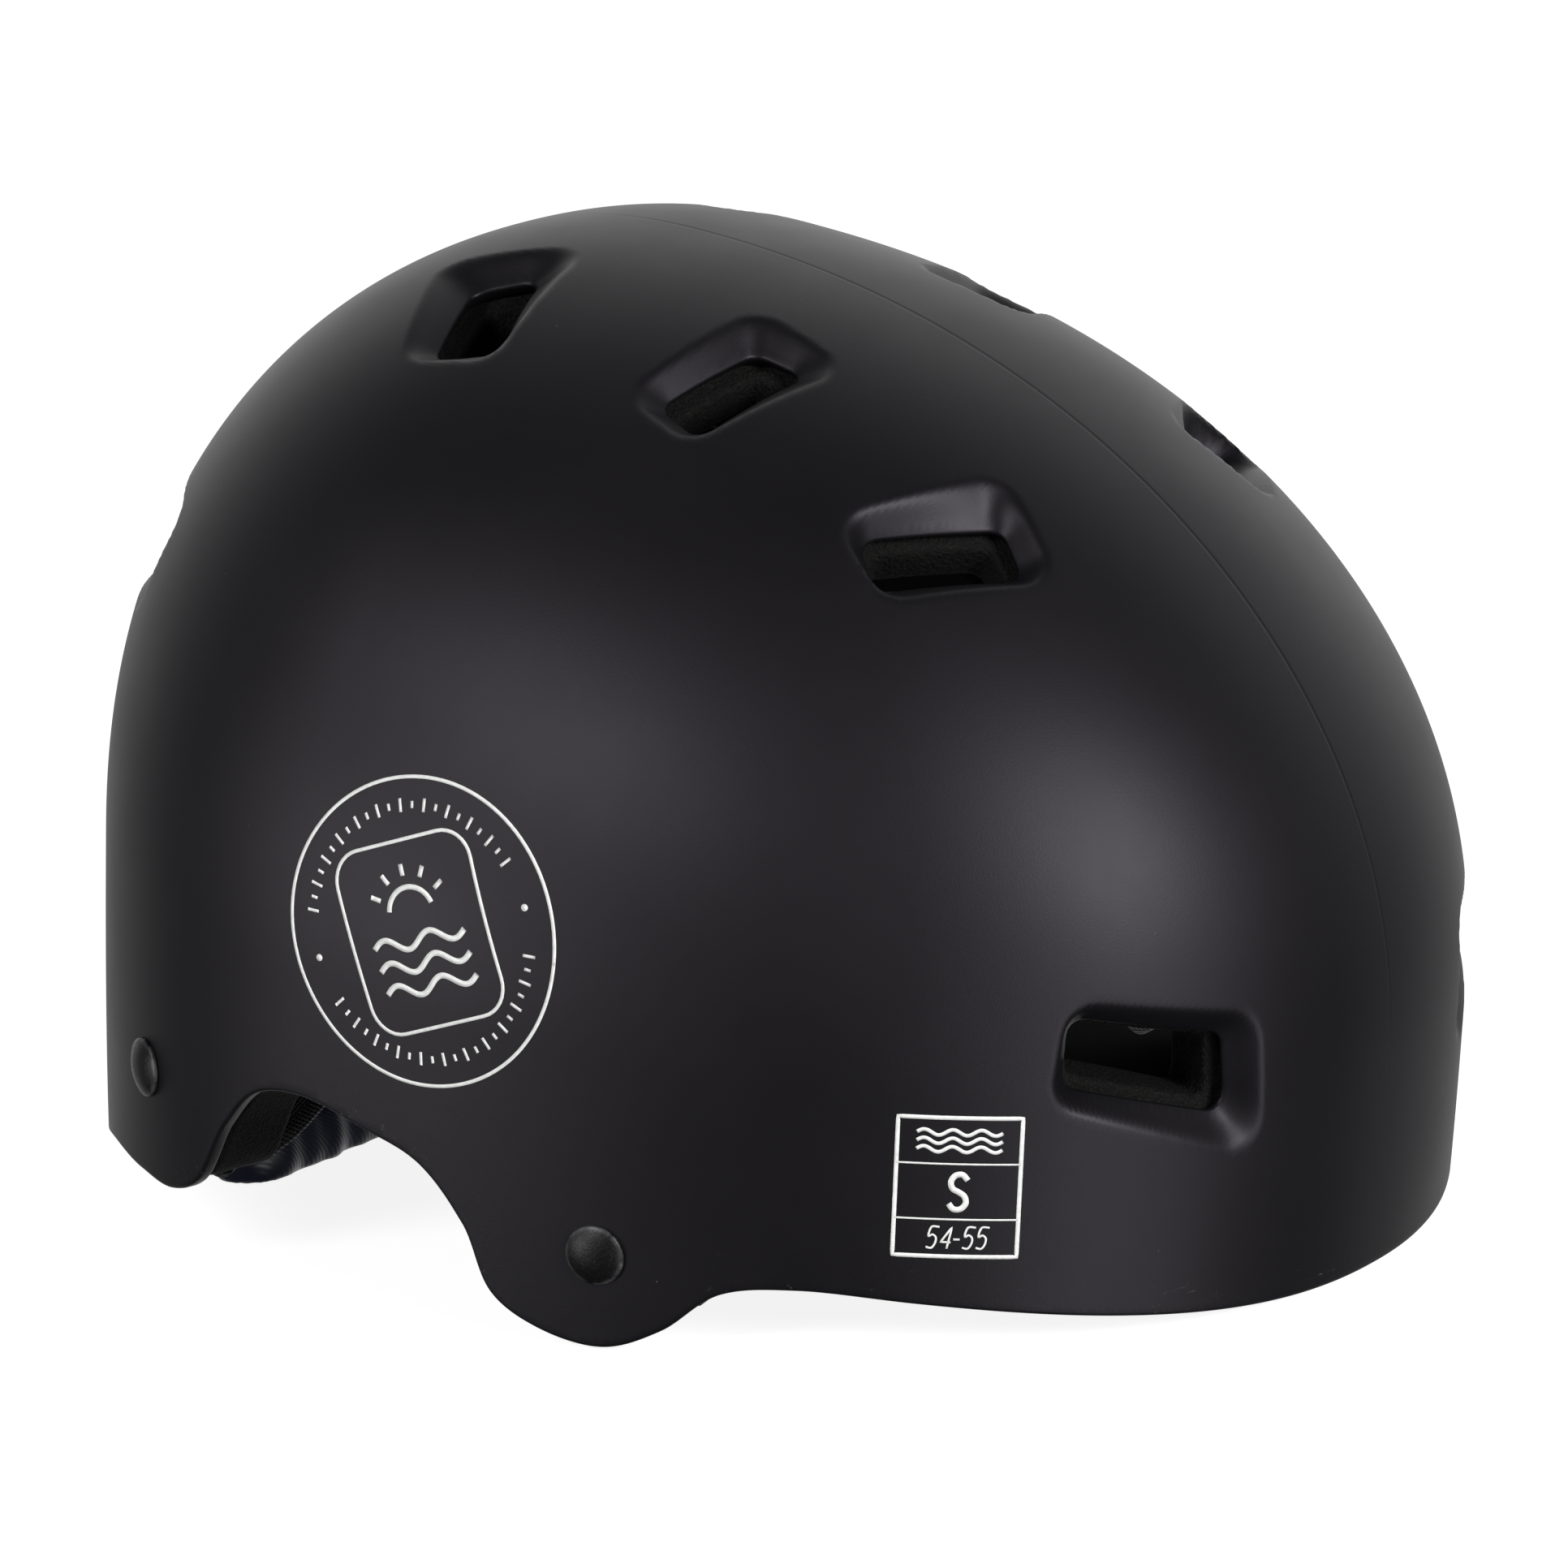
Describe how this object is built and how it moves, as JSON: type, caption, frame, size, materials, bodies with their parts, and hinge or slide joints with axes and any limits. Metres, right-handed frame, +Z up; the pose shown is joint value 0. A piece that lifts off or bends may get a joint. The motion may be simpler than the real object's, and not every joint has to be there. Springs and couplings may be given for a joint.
{
  "type": "water sports helmet",
  "caption": "Hard-shell water helmet with dished vents, ear cut-outs, a foam liner with comfort pads and a folding riveted chin strap.",
  "frame": {"origin": "under the middle of the helmet, on the plane it rests on", "axes": "+Z up, -Y out of the forehead, +X towards the wearer's left"},
  "size_m": [0.2152, 0.2544, 0.1752],
  "materials": {
    "shell_abs": "fine matte, very slightly warm black moulded ABS",
    "foam_eva": "open-grain charcoal EVA foam",
    "pad_mesh": "knitted polyester over soft foam",
    "pad_satin": "smooth navy-black satin lining",
    "webbing": "woven polypropylene webbing",
    "buckle_plastic": "satin moulded acetal",
    "rubber_loop": "matte rubber",
    "hook_loop": "hook-and-loop tape",
    "rivet_paint": "speckled semi-gloss black paint",
    "washer_steel": "blackened stainless steel",
    "print_white": "white pad-printed ink"
  },
  "bodies": {
    "helmet": {"outer_shell": "shell_abs", "foam_liner": "foam_eva", "crown_pad": "pad_mesh", "brow_pad": "pad_mesh", "nape_pad": "pad_satin", "side_pad_right": "pad_mesh", "side_pad_left": "pad_mesh", "pad_fasteners": "hook_loop", "badge_right": "print_white", "badge_left": "print_white", "size_label": "print_white", "rivet_front_right": "rivet_paint", "rivet_front_left": "rivet_paint", "washer_front_right": "washer_steel", "washer_front_left": "washer_steel", "strap_tab_front_right": "webbing", "strap_tab_front_left": "webbing", "rivet_rear_right": "rivet_paint", "rivet_rear_left": "rivet_paint", "washer_rear_right": "washer_steel", "washer_rear_left": "washer_steel", "strap_tab_rear_right": "webbing", "strap_tab_rear_left": "webbing"},
    "strap_right": {"strap_front_right": "webbing", "strap_rear_right": "webbing", "strap_divider_right": "buckle_plastic"},
    "strap_left": {"strap_front_left": "webbing", "strap_rear_left": "webbing", "strap_divider_left": "buckle_plastic"},
    "chin_right": {"chin_strap_right": "webbing", "chin_pad": "pad_satin", "buckle_socket": "buckle_plastic"},
    "chin_left": {"chin_strap_left": "webbing", "buckle_plug": "buckle_plastic"},
    "prong_front": {"buckle_prong_front": "buckle_plastic"},
    "prong_rear": {"buckle_prong_rear": "buckle_plastic"},
    "adjuster": {"strap_adjuster": "buckle_plastic"},
    "keeper": {"strap_keeper": "rubber_loop"}
  },
  "joints": [
    {"name": "strap_right_swing", "type": "hinge", "parent": "helmet", "child": "strap_right", "pos_m": [-0.0775, 0.02192, 0.01322], "axis": [0.0967, 0.9904, 0.099], "range_deg": [0, 160]},
    {"name": "strap_left_swing", "type": "hinge", "parent": "helmet", "child": "strap_left", "pos_m": [0.0775, 0.02192, 0.01322], "axis": [0.0967, -0.9904, -0.099], "range_deg": [0, 160]},
    {"name": "chin_right_fold", "type": "hinge", "parent": "strap_right", "child": "chin_right", "pos_m": [-0.07195, 0.01504, 0.07661], "axis": [0.0967, 0.9904, 0.099], "range_deg": [0, 60]},
    {"name": "chin_left_fold", "type": "hinge", "parent": "strap_left", "child": "chin_left", "pos_m": [0.07195, 0.01504, 0.07661], "axis": [0.0967, -0.9904, -0.099], "range_deg": [0, 60]},
    {"name": "prong_front_squeeze", "type": "slide", "parent": "chin_left", "child": "prong_front", "axis": [-0.0967, 0.9904, 0.099], "range_m": [0, 0.0016], "stiffness_N_per_m": 400},
    {"name": "prong_rear_squeeze", "type": "slide", "parent": "chin_left", "child": "prong_rear", "axis": [0.0967, -0.9904, -0.099], "range_m": [0, 0.0016], "stiffness_N_per_m": 400},
    {"name": "adjuster_slide", "type": "slide", "parent": "chin_left", "child": "adjuster", "axis": [-0.4519, -0.1324, 0.8822], "range_m": [0, 0.008]},
    {"name": "keeper_slide", "type": "slide", "parent": "chin_left", "child": "keeper", "axis": [-0.4519, -0.1324, 0.8822], "range_m": [0, 0.0035]}
  ],
  "couplings": [
    {"joint": "prong_rear_squeeze", "follows": "prong_front_squeeze", "ratio": 1}
  ]
}
